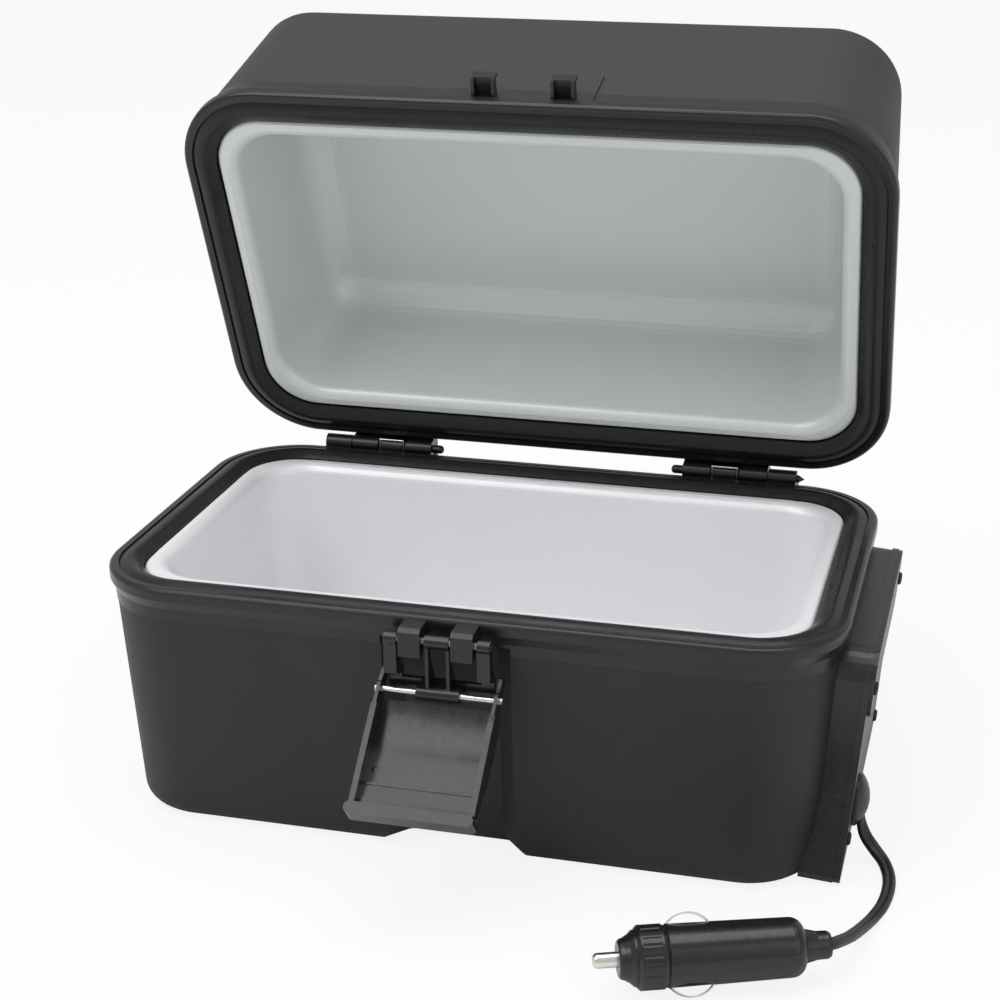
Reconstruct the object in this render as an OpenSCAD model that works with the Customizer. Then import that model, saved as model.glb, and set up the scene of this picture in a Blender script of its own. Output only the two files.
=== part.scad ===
// Electric lunch box: a 12 volt food warmer with a hinged, insulated lid, drawn open.
// X runs along the long side, Y from the latch to the hinges, Z up.
// The origin is the middle of the face that the box stands on.

/* [Case] */
// Length of the moulded rim, along X
rim_l = 265; // [240:1:300]
// Width of the moulded rim, along Y
rim_w = 157; // [140:1:180]
// Corner radius of the rim, seen from above
rim_r = 32.5; // [30:0.5:38]
// Height of the lower case, from the table to the liner's lip
body_h = 92; // [80:1:120]
// Height of the lid, from its liner's lip to its crown
lid_h = 75.5; // [60:0.5:90]
// Distance between the two lips when the lid is shut
lip_gap = 5.7; // [5.2:0.1:7]
// Thickness of the moulded walls
shell_wall = 2.6; // [2:0.1:3.2]
// How far the case wall stands in under the rim
rim_step = 1.9; // [1.2:0.1:2.6]
// How far the case wall leans in, from rim to base
wall_draft = 4.6; // [2:0.1:6]
// Radius of the bottom edge of the case
base_edge_r = 7; // [4:0.5:9]
// Radius of the top edge of the lid
crown_edge_r = 8; // [5:0.5:12]

/* [Liner] */
// Black band between the rim's edge and the liner's lip
band_w = 12.5; // [11:0.5:15]
// Width of the rolled lip
lip_w = 7; // [5:0.5:8]
// Thickness of the pressed liner
liner_t = 1; // [0.6:0.1:1.4]
// Depth of the lower tub
tub_depth = 68; // [55:1:72]
// Depth of the tub in the lid
lid_tub_depth = 60; // [45:1:62]
// Radius where a tub's wall turns into its floor
tub_edge_r = 14; // [8:0.5:14.5]
// How much rounder the tub's corners are than the lip's
tub_in = 5; // [0:0.5:6]
// How far a tub's wall leans in, from lip to floor
tub_draft = 3; // [1:0.5:4]
// Height of the rubber bead over the lip
bead_h = 2.7; // [2:0.1:2.8]

/* [Hinges] */
// Angle between the lid as drawn and the shut lid
lid_open = 69; // [40:1:69]
// Distance of the hinge axis behind the rim
hinge_back = 3.8; // [3.6:0.1:5]
// Height of the hinge axis over the lower lip
hinge_up = 2.6; // [2:0.1:3.4]
// Distance from the middle of the box to the first knuckle
hinge_in = 52; // [40:1:60]
// Width of one knuckle
knuckle_w = 11.4; // [9:0.2:13]
// Radius of the hinge barrel
knuckle_r = 3.2; // [2.9:0.1:3.4]
// Radius of the hinge pin
hinge_pin_r = 1.5; // [1.2:0.1:1.7]

/* [Latch] */
// Width of the recess in the front wall
recess_w = 46; // [44:1:52]
// Depth of the recess in the front wall
recess_d = 6.3; // [4:0.1:7]
// Distance of the link's upper axis in front of the rim
link_out = 6; // [5.6:0.1:7]
// Depth of the link's upper axis under the lower lip
link_down = 4.1; // [3:0.1:5]
// Distance between the link's two axes
link_l = 19.2; // [18:0.1:24]
// Width over the link's two arms
link_w = 36.8; // [34:0.1:40]
// Radius of the steel pins in the latch
latch_pin_r = 1.25; // [1:0.05:1.5]
// Width over the lever's two cheeks
lever_w = 43; // [42:0.5:46]
// Length of the lever from its pin to its grip
lever_l = 43; // [36:1:50]
// Angle at which the lever is drawn, out from hanging
lever_out = 50; // [30:1:60]

/* [Side cover] */
// Distance of the cover's face from the case at the base
cover_out = 9.2; // [8:0.1:11]
// Thickness of the cover plate
cover_t = 2.5; // [2:0.1:3]
// Width of the cover plate
cover_w = 109; // [100:1:112]
// Height of the cover plate
cover_h = 83; // [75:1:84]
// How far the cover leans out, from foot to top
cover_lean = 6; // [4:0.5:7]
// Radius of the round cord boss
boss_r = 9.5; // [8:0.5:11]

/* [Carry handle] */
// Distance between the handle's two pivots
handle_span = 112; // [90:1:130]
// Reach of the handle from its pivots to its bar
handle_reach = 34; // [28:1:40]
// Thickness of the handle
handle_t = 9; // [7:0.5:10]

/* [Plug] */
// Diameter of the plug's barrel
plug_d = 20.3; // [20:0.1:20.8]
// Length of the plug's barrel
plug_l = 44.5; // [40:0.5:50]
// Width of the flat cord
cord_w = 4.6; // [4:0.1:5.5]

/* [Hidden] */
$fn = 48;

// Small distances shared by mating pieces.
fit_gap = 0.3;        // between pieces of one housing
touch = 0.02;         // where one piece lies against another
turn_gap = 0.4;       // beside a piece that turns
pin_gap = 0.06;       // radial clearance of a turning pin
eps = 0.01;

// Corner centres shared by every ring of the case.
cx = rim_l / 2 - rim_r;
cy = rim_w / 2 - rim_r;
lip_out_d = rim_r - band_w;
mouth_d = lip_out_d - lip_w;

// The rim's section: heights are measured from the lip.
flange_up = 2;
flange_side = 4;
flange_root = 6;
flange_round = 1.6;
seat_down = 3;
seat_t = 2.4;
seat_in = 2;
groove_d = rim_r - 3.4;
step_down = 10.5;      // fine step in the wall, under the lip
step_t = 0.25;
wall_top_d = rim_r - rim_step;

lip_z = body_h;
lid_lip_z = body_h + lip_gap;
hinge_y = rim_w / 2 + hinge_back;
hinge_z = lip_z + hinge_up;

// The tub's own lines, from its rounder corners: the wall at the mouth and at the floor.
tub_top_d = mouth_d + tub_in;
tub_low_d = tub_top_d - tub_draft;
lip_roll = 3.5;       // under the lip's inner edge
rim_roll = 0.8;       // under its outer edge

// Radius of the floor's edge, kept inside the corner of the narrowest tub.
tub_r = min(tub_edge_r, tub_low_d - 0.5);

function arc(c, r, a0, a1, n) = [for (i = [0:n]) let (a = a0 + (a1 - a0) * i / n) c + r * [cos(a), sin(a)]];

// Sweeps a section round the case, drawn with X outward from a corner centre that lies in further by k.
module around(k = 0) {
  for (sx = [-1, 1], sy = [-1, 1])
    translate([sx * (cx - k), sy * (cy - k), 0])
      rotate([0, 0, sx > 0 ? (sy > 0 ? 0 : 270) : (sy > 0 ? 90 : 180)])
        rotate_extrude(angle = 90) children();
  for (s = [-1, 1]) {
    translate([0, s * (cy - k), 0]) rotate([90, 0, s * 90])
      linear_extrude(2 * (cx - k), center = true) children();
    translate([s * (cx - k), 0, 0]) rotate([90, 0, s > 0 ? 0 : 180])
      linear_extrude(2 * (cy - k), center = true) children();
  }
}

// Fills the middle of such a sweep between two heights.
module middle(z0, z1, k = 0) {
  translate([k - cx, k - cy, z0]) cube([2 * (cx - k), 2 * (cy - k), z1 - z0]);
}

// Outer line of a wall at a height over the closed end of a half case h high.
function wall_d(z, h) = wall_top_d - wall_draft * (1 - z / (h - flange_root));

// Outer line of a half case from above its closed edge to the rim, grown by g.
function outer_line(h, g) = [
  [wall_d(h - step_down, h) + g, h - step_down - step_t], [wall_d(h - step_down, h) + step_t + g, h - step_down],
  [wall_top_d + step_t + g, h - flange_root], [rim_r + g, h - flange_side + 1.5]
];

// One moulded half case, closed end at z = 0 and lip at z = h.
module half_shell(h, edge_r) {
  edge = arc([wall_d(edge_r, h) - edge_r, edge_r], edge_r, -90, 0, 8);
  inner_edge = arc([wall_d(edge_r, h) - edge_r, edge_r], edge_r - shell_wall, 0, -90, 8);
  around() polygon(concat(
    [[0, 0]],
    edge,
    outer_line(h, 0),
    [[rim_r, h + flange_up - flange_round]],
    arc([rim_r - flange_round, h + flange_up - flange_round], flange_round, 0, 90, 4),
    [[groove_d, h + flange_up], [groove_d, h - seat_down], [lip_out_d - seat_in, h - seat_down]],
    [[lip_out_d - seat_in, h - seat_down - seat_t], [wall_top_d - shell_wall, h - seat_down - seat_t]],
    inner_edge,
    [[0, shell_wall]]
  ));
  middle(0, shell_wall);
}

// Inner face of the case wall, as a solid that fills the case, for the insulation.
module half_fill(h, edge_r, gap) {
  d0 = wall_d(edge_r, h) - edge_r;
  top = h - seat_down - seat_t - gap;
  around() polygon(concat(
    [[0, shell_wall + gap]],
    arc([d0, edge_r], edge_r - shell_wall - gap, -90, 0, 8),
    [[wall_top_d - shell_wall - gap, top], [0, top]]
  ));
  middle(shell_wall + gap, top);
}

// A tub's section grown by g: walls, rounded floor edge and floor, hung from a lip at z = h.
module tub_fill(h, depth, g, top) {
  around(tub_in) polygon(concat(
    [[0, h - depth - g]],
    arc([tub_low_d - tub_r, h - depth + tub_r], tub_r + g, -90, 0, 8),
    [[tub_top_d + g, h - lip_roll - liner_t], [tub_top_d + g, top], [0, top]]
  ));
  middle(h - depth - g, top, tub_in);
}

// One pressed liner, lip at z = h: a flat lip turned down at its edge, drafted wall, rounded floor edge.
module liner(h, depth) {
  edge = [lip_out_d - rim_roll - liner_t, h - rim_roll - liner_t];
  turn = [tub_top_d + lip_roll + liner_t, h - lip_roll - liner_t];
  foot = [tub_low_d - tub_r, h - depth + tub_r];
  around() polygon(concat(
    [[lip_out_d - lip_w / 2, h - liner_t]],
    arc(edge, rim_roll, 90, 0, 4),
    [[lip_out_d - liner_t, h - seat_down], [lip_out_d, h - seat_down]],
    arc(edge, rim_roll + liner_t, 0, 90, 5),
    [[lip_out_d - lip_w / 2, h]]
  ));
  around(tub_in) polygon(concat(
    [[0, h - depth - liner_t]],
    arc(foot, tub_r + liner_t, -90, 0, 8),
    arc(turn, lip_roll, 180, 90, 6),
    [[lip_out_d + tub_in - 1, h - liner_t], [lip_out_d + tub_in - 1, h]],
    arc(turn, lip_roll + liner_t, 90, 180, 7),
    arc(foot, tub_r, 0, -90, 8),
    [[0, h - depth]]
  ));
  middle(h - depth - liner_t, h - depth, tub_in);
}

// Rubber band between the lip and the rim: a broad bead that rises from the lip.
module gasket(h) {
  d0 = lip_out_d + fit_gap;
  d1 = groove_d - 0.3;
  low = [0.1, 1.5];
  around() polygon(concat(
    [[d0, h - seat_down]],
    [for (i = [0:12]) let (t = i / 12)
      [d0 + (d1 - d0) * t, h + low[0] + (low[1] - low[0]) * t + (bead_h - 0.85) * sin(180 * t)]],
    [[groove_d, h + low[1] - 0.1], [groove_d, h - seat_down]]
  ));
}

// Insulation between a shell and its tub.
module insulation(h, depth, edge_r) {
  difference() {
    half_fill(h, edge_r, touch);
    tub_fill(h, depth, liner_t + fit_gap, h);
  }
}

// ---- Lower case ----

// Lean of the front and back walls, and the places of the front and end wall at the table.
wall_lean = atan(wall_draft / (body_h - flange_root - base_edge_r));
front_y0 = cy + wall_d(0, body_h);
end_x0 = cx + wall_d(0, body_h);

// The front wall's own frame: X along it, Y into it, Z up it.
module on_front() {
  translate([0, -front_y0, 0]) rotate([wall_lean, 0, 0]) children();
}

// Channel of the recess, with slanted sides, grown by g.
module front_channel(g, z0, z1) {
  flare = 4;
  half = recess_w / 2 + g * sqrt(2);
  d = recess_d + g;
  on_front() translate([0, 0, z0]) linear_extrude(z1 - z0) polygon([
    [-half - flare, -2 * flare], [-half, 0], [d - half, d], [half - d, d], [half, 0], [half + flare, -2 * flare]
  ]);
}

// Round foot of the recess: its walls run into the floor of the case on a radius.
foot_r = 11;
foot_up = (foot_r - (recess_d + foot_r) * sin(wall_lean)) / cos(wall_lean) - 0.1;
foot_wall = [6, 6.5];  // thickness and height of the plastic behind that foot
module foot_section(start) {
  line = arc([foot_r - touch, foot_up], foot_r, 180, 270, 10);
  cut = max(0, start - line[0][0]) / (line[1][0] - line[0][0]);
  first = line[0] + cut * (line[1] - line[0]);
  polygon(concat([first], [for (i = [1:10]) line[i]], [[foot_r - touch, -5], [start, -5]]));
}

module recess_foot() {
  half = recess_w / 2 - recess_d;
  on_front() {
    translate([-half, recess_d, 0]) rotate([90, 0, 90]) linear_extrude(2 * half) foot_section(-1);
    for (s = [0, 1]) mirror([s, 0, 0]) translate([half, recess_d, 0]) {
      rotate([0, 0, 45]) rotate_extrude(angle = 45) foot_section(0);
      rotate([0, 0, -45]) rotate([90, 0, 90]) linear_extrude(recess_d * sqrt(2) + 6) foot_section(-1);
    }
  }
}

// The latch: link axis A, pin B that hangs under it, and the pieces' widths.
link_y = -(rim_w / 2 + link_out);
link_z = lip_z - link_down;
grip_z = link_z - link_l;
arm_w = 4.4;
barrel_w = 8.4;
barrel_r = 2.4;
lug_gap = 1.1;
lug_w = link_w / 2 - arm_w - barrel_w / 2 - 2 * lug_gap;
lug_x = barrel_w / 2 + lug_gap + lug_w / 2;
lug_front = 3.2;
lug_drop = 5;

// One latch lug: it slopes out from under the rim and turns down in front of the link's pin.
module latch_lug() {
  root = -rim_w / 2 + 0.6;
  front = link_y - lug_front;
  translate([-lug_w / 2, 0, 0]) rotate([90, 0, 90]) linear_extrude(lug_w)
    polygon([
      [root, lip_z + 1], [front + 1.4, lip_z + 1], [front, lip_z - 0.3],
      [front, link_z - lug_drop], [front + 1.6, link_z - lug_drop],
      [link_y + 2.6, link_z - 2.6], [root, link_z - 2.6]
    ]);
}

// The hinge: knuckles are numbered outward from the middle of the box.
hinge_w = 4 * knuckle_w;
wire_r = 0.4;
clip_slot = 2 * wire_r + 0.2;
shelf_down = knuckle_r + turn_gap;
shelf_back = 6.8;
web_up = 4.9;
web_back = 5.3;

// Start and width of a knuckle: the clip's legs take room at both ends of number 1.
function knuckle_x(k) = hinge_in + k * knuckle_w + turn_gap / 2 + (k == 1 ? clip_slot : 0);
function knuckle_len(k) = knuckle_w - turn_gap - (k == 1 ? 2 * clip_slot : 0);

module on_both_sides() {
  children();
  mirror([1, 0, 0]) children();
}

// A knuckle of the lower case, with the web that carries it.
module body_knuckle(k) {
  translate([knuckle_x(k), hinge_y, hinge_z]) rotate([0, 90, 0])
    cylinder(r = knuckle_r, h = knuckle_len(k));
  translate([knuckle_x(k), hinge_y, hinge_z]) rotate([90, 0, 90]) linear_extrude(knuckle_len(k))
    polygon([
      [-hinge_back - 0.6, -shelf_down - 1], [knuckle_r * 0.7, -shelf_down - 1],
      [knuckle_r * 0.7, -0.9], [-hinge_back - 0.6, -0.9]
    ]);
}

// Shelf under the whole barrel: the lid's tail comes down on it when the lid is open.
module hinge_shelf() {
  translate([hinge_in, hinge_y, hinge_z]) rotate([90, 0, 90]) linear_extrude(hinge_w)
    polygon([
      [-hinge_back - 1.6, -shelf_down], [shelf_back, -shelf_down], [shelf_back, -shelf_down - 1.8],
      [1, -shelf_down - 4.6], [-hinge_back - 1.6, -shelf_down - 7]
    ]);
}

// Cuts a round hole through one whole hinge barrel.
module hinge_bore(r) {
  translate([hinge_in - 1, hinge_y, hinge_z]) rotate([0, 90, 0]) cylinder(r = r, h = hinge_w + 2);
}

lead_y = -35;
lead_down = 2.5;      // from the underside of the tub's floor to the leads
lead_z = lip_z - tub_depth - liner_t - lead_down;
lead_hole_r = 3.4;

module body_shell() {
  color("#343536") difference() {
    union() {
      difference() {
        union() {
          half_shell(body_h, base_edge_r);
          intersection() {
            union() {
              front_channel(shell_wall, 1, lip_z - seat_down);
              front_channel(foot_wall[0], 1, foot_wall[1]);
            }
            half_fill(body_h, base_edge_r, -1);
          }
        }
        front_channel(0, -2, lip_z - flange_root - 1.2);
        recess_foot();
      }
      for (s = [-1, 1]) translate([s * lug_x, 0, 0]) latch_lug();
      on_both_sides() {
        for (k = [1, 3]) body_knuckle(k);
        hinge_shelf();
      }
    }
    translate([-link_w / 2, link_y, link_z]) rotate([0, 90, 0]) cylinder(r = latch_pin_r, h = link_w);
    on_both_sides() hinge_bore(hinge_pin_r);
    translate([end_x0 - 12, lead_y, lead_z]) rotate([0, 90, 0]) cylinder(r = lead_hole_r, h = 24);
  }
}

module body_liner() { color("#c9ccd2") liner(body_h, tub_depth); }

module body_gasket() { color("#1d1e1f") gasket(body_h); }

// Heater under the tub: a flat plate held against the floor, with its two tabs.
heater_t = 2.4;
heater_l = 150;
heater_w = 62;
heater_z = lip_z - tub_depth - liner_t - heater_t;
wire_d = 2;
tab_l = [7, 10];
tab_y = 8;

module heating_element() {
  color("#8b6f4e") {
    translate([-heater_l / 2, -heater_w / 2, heater_z]) cube([heater_l, heater_w, heater_t]);
    for (i = [0, 1])
      translate([heater_l / 2, (2 * i - 1) * tab_y - 2, heater_z + 0.8]) cube([tab_l[i], 4, 0.8]);
  }
}

// Thermal cut-out: a small can held flat against the heater.
fuse_l = 16;
fuse_r = 3;
module thermal_fuse() {
  color("#b9bcc0") translate([-fuse_l / 2, 0, heater_z - fuse_r]) rotate([0, 90, 0])
    cylinder(r = fuse_r, h = fuse_l);
}

// Two leads from the cover's hollow, through the case wall, to the heater's tabs.
module inner_wiring() {
  r = wire_d / 2;
  z = heater_z + heater_t / 2;
  color("#a8322c") for (i = [0, 1]) {
    x = heater_l / 2 + tab_l[i] + r;
    y = lead_y + (2 * i - 1) * (r + 0.2);
    translate([x, y, lead_z]) rotate([0, 90, 0]) cylinder(r = r, h = end_x0 + cover_out - x);
    translate([x, y, lead_z]) sphere(r = r + 0.05);
    translate([x, y, min(z, lead_z)]) cylinder(r = r, h = abs(z - lead_z) + eps);
    translate([x, y, z]) sphere(r = r + 0.05);
    translate([x, y, z]) rotate([-90, 0, 0]) cylinder(r = r, h = (2 * i - 1) * tab_y - y);
  }
}

// Half the height of the channel for the leads.
channel_half = 5;
module body_insulation() {
  low = min(heater_z, lead_z) - channel_half;
  high = max(heater_z, lead_z) + channel_half;
  color("#e6dfc8") difference() {
    insulation(body_h, tub_depth, base_edge_r);
    front_channel(shell_wall + fit_gap, -2, lip_z);
    front_channel(foot_wall[0] + fit_gap, -2, foot_wall[1] + fit_gap);
    translate([-heater_l / 2 - fit_gap, -heater_w / 2 - fit_gap, heater_z - fit_gap])
      cube([heater_l + 2 * fit_gap, heater_w + 2 * fit_gap, heater_t + 4]);
    translate([-fuse_l / 2 - 1, -fuse_r - 1, heater_z - 2 * fuse_r - fit_gap])
      cube([fuse_l + 2, 2 * fuse_r + 2, 2 * fuse_r + heater_t]);
    translate([heater_l / 2 - 1, lead_y - channel_half, low])
      cube([end_x0 + wall_draft + 2 - heater_l / 2, tab_y - lead_y + 2 * channel_half, high - low]);
  }
}

// ---- Side cover ----

cover_tilt = atan(cover_lean / cover_h);
cover_z0 = 1;
panel_t = 1.3;
panel_z = 59;
spacer_wall = 2.4;
spacer_inset = 0.5;
spacer_d = cover_out + cover_lean + wall_draft;
spacer_half = cover_w / 2 - spacer_inset;
spacer_top = cover_z0 + cover_h - spacer_inset;
spacer_r = 11;
foot_out = 8;         // how far the spacer's foot flares out
foot_z = cover_z0 + 2.5;
flare_h = 38;
hole_l = cover_t + panel_t + 2;
screw_y = cover_w / 2 - 6;
screw_z = [12, 71];
screw_r = 1.3;
screw_head_r = 2.4;
screw_boss_r = 3.6;
screw_l = 4.5;        // length of a screw behind the cover's inner face

// The cover's own frame: X out through its inner face, Z up along it.
module on_cover() {
  translate([end_x0 + cover_out - cover_t, 0, 0]) rotate([0, cover_tilt, 0]) children();
}

// A rounded outline in the cover's plane, extruded outward from x0 to x1.
module cover_slab(x0, x1, w, z0, z1, r) {
  translate([x0, 0, (z0 + z1) / 2]) rotate([90, 0, 90]) linear_extrude(x1 - x0)
    rounded(w, z1 - z0, r);
}

// A rectangle with round corners.
module rounded(w, h, r) {
  x = w / 2 - r;
  y = h / 2 - r;
  polygon(concat(
    arc([x, y], r, 0, 90, 6), arc([-x, y], r, 90, 180, 6), arc([-x, -y], r, 180, 270, 6), arc([x, -y], r, 270, 360, 6)
  ));
}

// The case's outer solid, grown by a gap, that the spacer is fitted to.
module case_solid(gap) {
  around() polygon(concat(
    [[0, -1], [wall_d(0, body_h) + gap, -1], [wall_d(base_edge_r, body_h) + gap, base_edge_r]],
    outer_line(body_h, gap),
    [[rim_r + gap, body_h + 9], [0, body_h + 9]]
  ));
  middle(-1, body_h + 9);
}

// Edge of the spacer and the cover, from the foot (t = 0) to the end of the flare (t = 1), grown by g.
function flared_edge(t, g) = [spacer_half + g + foot_out * (1 - t) * (1 - t), foot_z + flare_h * t];

// Their outline, with round top corners, a foot that flares out, and its corners rounded by r.
module flared_outline(g, r) {
  top = spacer_top + g;
  side = spacer_half + g;
  foot = side + foot_out;
  polygon(concat(
    [for (i = [0:8]) flared_edge(i / 8, g)],
    arc([side - spacer_r, top - spacer_r], spacer_r, 0, 90, 8),
    arc([spacer_r - side, top - spacer_r], spacer_r, 90, 180, 8),
    [for (i = [8:-1:0]) let (e = flared_edge(i / 8, g)) [-e[0], e[1]]],
    arc([r - foot, cover_z0 + r], r, 190, 270, 4),
    arc([foot - r, cover_z0 + r], r, 270, 350, 4)
  ));
}

module side_cover() {
  color("#2c2d2e") difference() {
    union() {
      on_cover() rotate([90, 0, 90]) linear_extrude(cover_t) flared_outline(spacer_inset, 2.4);
      on_cover() cover_slab(cover_t - eps, cover_t + panel_t, cover_w - 1, panel_z, spacer_top, spacer_r - 1);
    }
    on_cover() for (s = [-1, 1], z = screw_z) translate([-1, s * screw_y, z])
      rotate([0, 90, 0]) cylinder(r = screw_r + 0.25, h = hole_l);
    on_cover() translate([-1, lead_y, lead_z]) rotate([0, 90, 0]) cylinder(r = lead_hole_r, h = hole_l);
  }
}

module side_spacer() {
  color("#28292a") difference() {
    union() {
      on_cover() difference() {
        translate([-spacer_d, 0, 0]) rotate([90, 0, 90]) linear_extrude(spacer_d) flared_outline(0, 1);
        cover_slab(-spacer_d - 1, 1, 2 * (spacer_half - spacer_wall), foot_z + spacer_wall,
          spacer_top - spacer_wall, spacer_r - spacer_wall);
      }
      on_cover() for (s = [-1, 1], z = screw_z) translate([-spacer_d, s * screw_y, z])
        rotate([0, 90, 0]) cylinder(r = screw_boss_r, h = spacer_d);
    }
    case_solid(touch);
    on_cover() for (s = [-1, 1], z = screw_z) translate([-2 * screw_l, s * screw_y, z])
      rotate([0, 90, 0]) cylinder(r = screw_r, h = 2 * screw_l + 1);
  }
}

module side_cover_screws() {
  color("#4a4b4d") on_cover() for (s = [-1, 1], z = screw_z) {
    face = screw_l + cover_t + (z > panel_z ? panel_t : 0);
    translate([-screw_l, s * screw_y, z]) rotate([0, 90, 0]) rotate_extrude() polygon(concat(
      [[0, 0], [screw_r, 0.8], [screw_r, face + 0.05], [screw_head_r, face + 0.05]],
      arc([screw_head_r - 0.9, face + 0.3], 0.9, 0, 90, 4),
      [[0, face + 1.2]]
    ));
  }
}

// ---- Cord and plug ----

boss_h = 5.2;
boss_c = (pow(boss_r - 0.2, 2) + pow(1.6, 2) - pow(boss_h, 2)) / (2 * (boss_h - 1.6));
cord_t = 2.6;

// Round boss where the cord leaves: a low dome with its mouth underneath.
module cord_boss() {
  color("#232425") on_cover() translate([cover_t, lead_y, lead_z]) difference() {
    rotate([0, 90, 0]) rotate_extrude() polygon(concat(
      [[0, 0], [boss_r, 0]],
      [[boss_r, 0.8]],
      arc([0, -boss_c], boss_h + boss_c, asin((1.6 + boss_c) / (boss_h + boss_c)), 90, 8)
    ));
    translate([-1, -cord_w / 2 - 0.2, -boss_r - 2]) cube([cord_t + 1.6, cord_w + 0.4, boss_r]);
  }
}

// Where the plug lies: its axis, from the tip of the pin back to the boot.
plug_tip_xy = [66.4, -143];
plug_turn = 21;
plug_r = plug_d / 2;
ring_r = plug_r + 0.15;
contact_w = 3;
contact_up = 3.2;
contact_turn = 36;
plug_z = (plug_r + contact_up) * cos(contact_turn) + contact_w / 2 * sin(contact_turn) + touch;
tip_l = 8.3;
tip_r = 2.5;
nose_l = 5.6;
ring_l = 9.6;
boot_l = 8.4;
plug_fuse_r = 3.2;
plug_fuse_l = 30;

// The plug's frame: Z runs from its tip to its boot.
module on_plug(s) {
  translate([plug_tip_xy[0], plug_tip_xy[1], plug_z]) rotate([0, 0, plug_turn]) rotate([0, 90, 0])
    translate([0, 0, s]) children();
}

module plug_tip() {
  r = tip_r;
  color("#d8d6cf") on_plug(0) rotate_extrude() polygon(concat(
    [[0, 0]], arc([r - 1.6, 1.6], 1.6, -90, 0, 5), [[r, tip_l + 2], [r + 1.3, tip_l + 2], [r + 1.3, tip_l + 3.4], [0, tip_l + 3.4]]
  ));
}

module plug_nose() {
  color("#1b1b1c") on_plug(tip_l - 0.3) difference() {
    rotate_extrude() polygon([
      [0, 0], [5.6, 0], [6.3, 0.6], [6.7, 1.8], [7.6, 3.4], [8.9, 4.8], [8.9, nose_l], [0, nose_l]
    ]);
    translate([0, 0, -1]) cylinder(r = tip_r, h = 4);
    translate([0, 0, 2.3]) cylinder(r = tip_r + 1.3, h = 6);
  }
}

module plug_ring() {
  flutes = 20;
  color("#1e1e1f") on_plug(tip_l - 0.3 + nose_l) difference() {
    rotate_extrude() polygon([
      [5, 0], [ring_r - 1, 0], [ring_r, 1], [ring_r, ring_l - 1.2], [ring_r - 0.7, ring_l], [5, ring_l]
    ]);
    for (i = [0:flutes - 1]) rotate([0, 0, i * 360 / flutes]) translate([ring_r + 1.35, 0, 1.6])
      cylinder(r = 1.6, h = ring_l - 3.6, $fn = 24);
  }
}

plug_z0 = tip_l - 0.3 + nose_l + ring_l;
contact_z = 7.8;
module plug_body() {
  color("#1b1b1c") on_plug(plug_z0) difference() {
    rotate_extrude() polygon(concat(
      [[4, 0], [plug_r - 0.5, 0], [plug_r, 0.5]],
      arc([plug_r - 5, plug_l - 4.4], 4.4, 0, 80, 6),
      [[3.4, plug_l]]
    ));
    cylinder(r = plug_fuse_r + 1.2, h = tip_l + 3.4 + plug_fuse_l + 4 - plug_z0);
    for (s = [0, 180]) rotate([0, 0, s - contact_turn])
      translate([plug_r - 3, -contact_w / 2 - 0.4, contact_z - 7]) cube([5, contact_w + 0.8, 14]);
  }
}

// Two bowed springs at the sides of the barrel, each on the floor of its slot.
module plug_side_contacts() {
  bow_r = 9;
  bow_end = asin(6.8 / bow_r);
  c = [contact_up - bow_r, 0];
  color("#c9c8c2") on_plug(plug_z0 + contact_z) for (s = [0, 180])
    rotate([0, 0, s - contact_turn]) translate([plug_r, 0, 0]) rotate([90, 0, 0])
      linear_extrude(contact_w, center = true) polygon(concat(
        [[-3, 6.9]], arc(c, bow_r, bow_end, -bow_end, 12), [[-3, -6.9], [-3, -6.4]],
        arc(c, bow_r - 0.5, 1 - bow_end, bow_end - 1, 12), [[-3, 6.4]]
      ));
}

module plug_fuse() {
  color("#d9d3c0") on_plug(tip_l + 3.4) cylinder(r = plug_fuse_r, h = plug_fuse_l);
}

module plug_boot() {
  color("#1b1b1c") on_plug(plug_z0 + plug_l + 0.05) rotate_extrude() polygon([
    [0, 0], [5.6, 0], [5.2, 1.5], [4.6, 4], [4.5, boot_l - 1], [4, boot_l], [0, boot_l]
  ]);
}

// Route of the cord, from inside the boss to inside the boot, and the way its broad side faces.
cord_route = [
  [138.8, -35.2, 19], [139, -35.6, 15.6], [139.7, -36.3, 11.6], [141.6, -38.3, 7.8], [145.1, -41.1, 4.6],
  [149, -45.8, 2.4], [151.4, -53.4, 1.45], [151.9, -62.8, 1.4], [150.8, -72.8, 1.5], [148.5, -81.1, 1.7],
  [147.1, -86.1, 2.5], [145.7, -91.5, 3.8], [144, -98.3, 5.8], [142, -105.1, 8], [137.5, -115.7, plug_z], [133.2, -117.4, plug_z]
];
cord_side = [
  [0, 1, 0], [0, 1, 0], [0.3, 1, 0], [0.8, 0.8, 0.2], [1, 0.5, 0.2],
  [1, 0.3, 0], [1, 0, 0], [1, 0, 0], [1, 0, 0], [1, -0.1, 0],
  [1, -0.2, 0], [1, -0.3, 0], [0.9, -0.45, 0], [0.8, -0.6, 0], [0.4, -0.9, 0], [0.36, -0.93, 0]
];
// Half of the twin lead's section: a round core on each side of a groove.
cord_core = (cord_w - cord_t) / 2;
cord_section = concat(
  arc([cord_core, 0], cord_t / 2, -90, 90, 4), [[0, cord_t * 0.36]],
  arc([-cord_core, 0], cord_t / 2, 90, 270, 4), [[0, -cord_t * 0.36]]
);
cord_steps = 3;

function unit(v) = v / norm(v);
function at(list, i) = list[max(0, min(len(list) - 1, i))];
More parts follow.
